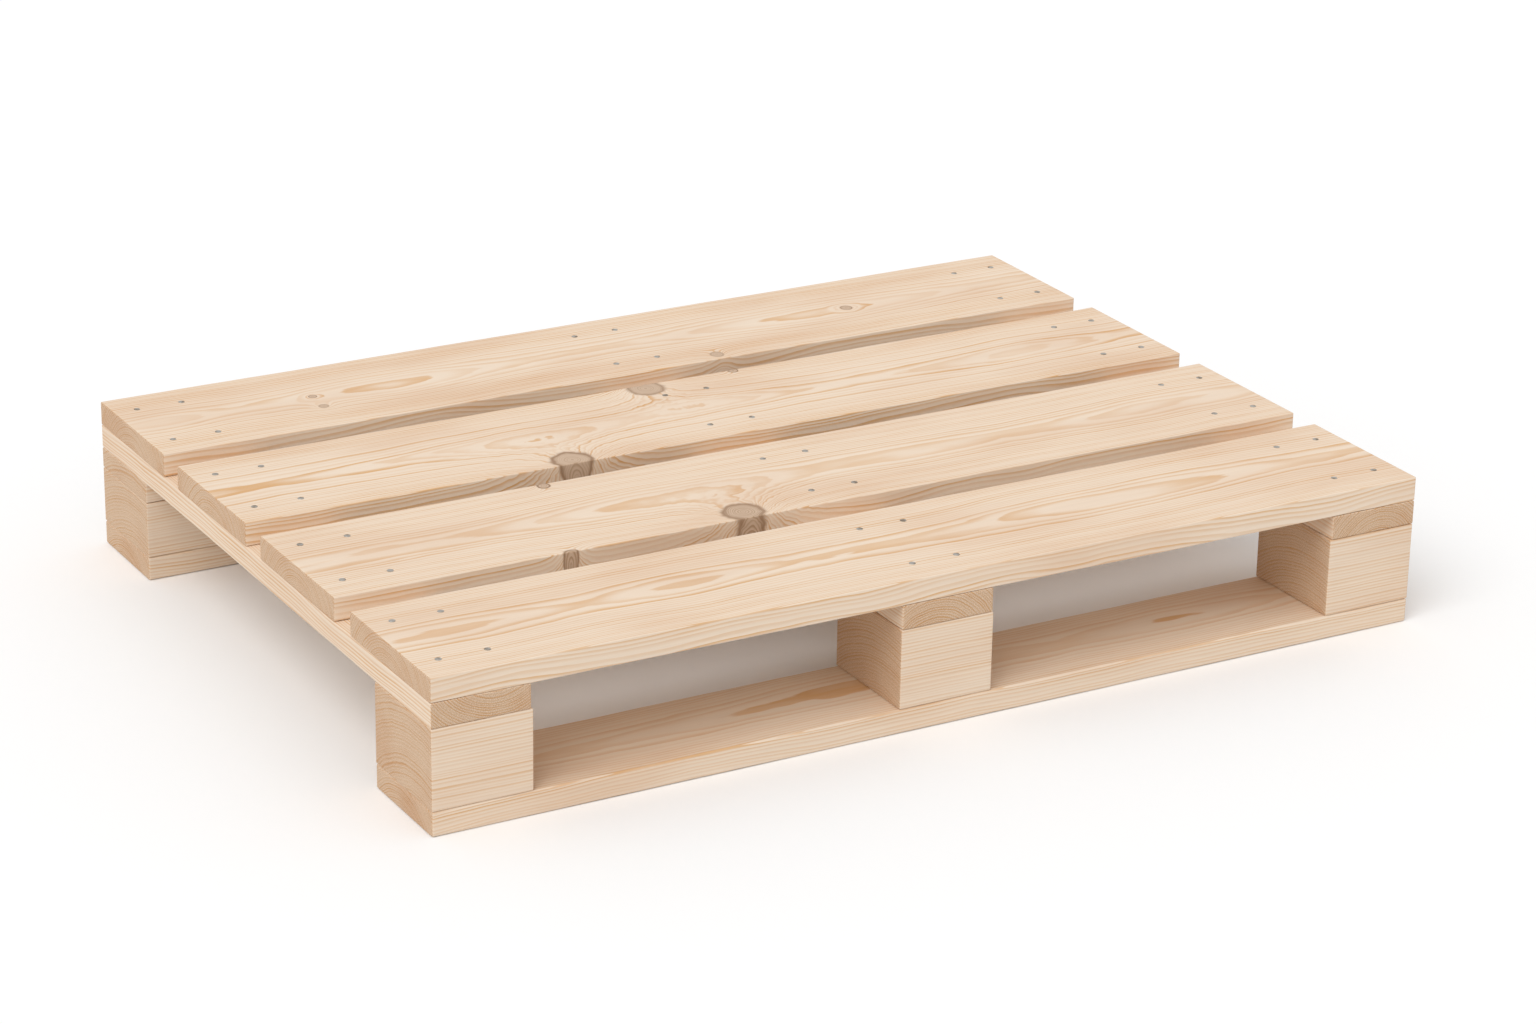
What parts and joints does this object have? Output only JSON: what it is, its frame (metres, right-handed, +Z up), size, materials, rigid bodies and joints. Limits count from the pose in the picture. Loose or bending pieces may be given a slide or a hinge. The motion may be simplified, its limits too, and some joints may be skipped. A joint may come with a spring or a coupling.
{
  "type": "wooden pallet",
  "caption": "Low pallet of sawn softwood boards: spaced deck boards on cross stringers, held up by block legs on lengthwise skids, open to forks from all sides.",
  "frame": {"origin": "on the floor, under the middle of the pallet's box", "axes": "+X along the deck boards and skids, +Y from the front skid to the rear skid, +Z up"},
  "size_m": [1, 0.731, 0.144],
  "materials": {
    "deck_pine": "sawn and planed pale pine, matt",
    "stringer_pine": "sawn pale pine, matt",
    "block_pine": "sawn pale pine, matt",
    "packer_pine": "sawn pale pine, matt",
    "skid_pine": "sawn pale pine, matt",
    "nail_steel": "bright steel nail, dulled"
  },
  "bodies": {
    "root": {"deck_board_1": "deck_pine", "deck_board_2": "deck_pine", "deck_board_3": "deck_pine", "deck_board_4": "deck_pine", "stringer_left": "stringer_pine", "stringer_middle": "stringer_pine", "stringer_right": "stringer_pine", "block_front_left": "block_pine", "block_front_middle": "block_pine", "block_front_right": "block_pine", "block_rear_left": "block_pine", "block_rear_middle": "block_pine", "block_rear_right": "block_pine", "packer_left": "packer_pine", "packer_middle": "packer_pine", "packer_right": "packer_pine", "skid_front": "skid_pine", "skid_rear": "skid_pine", "deck_nails": "nail_steel", "leg_nails": "nail_steel", "skid_nails": "nail_steel"}
  },
  "joints": []
}
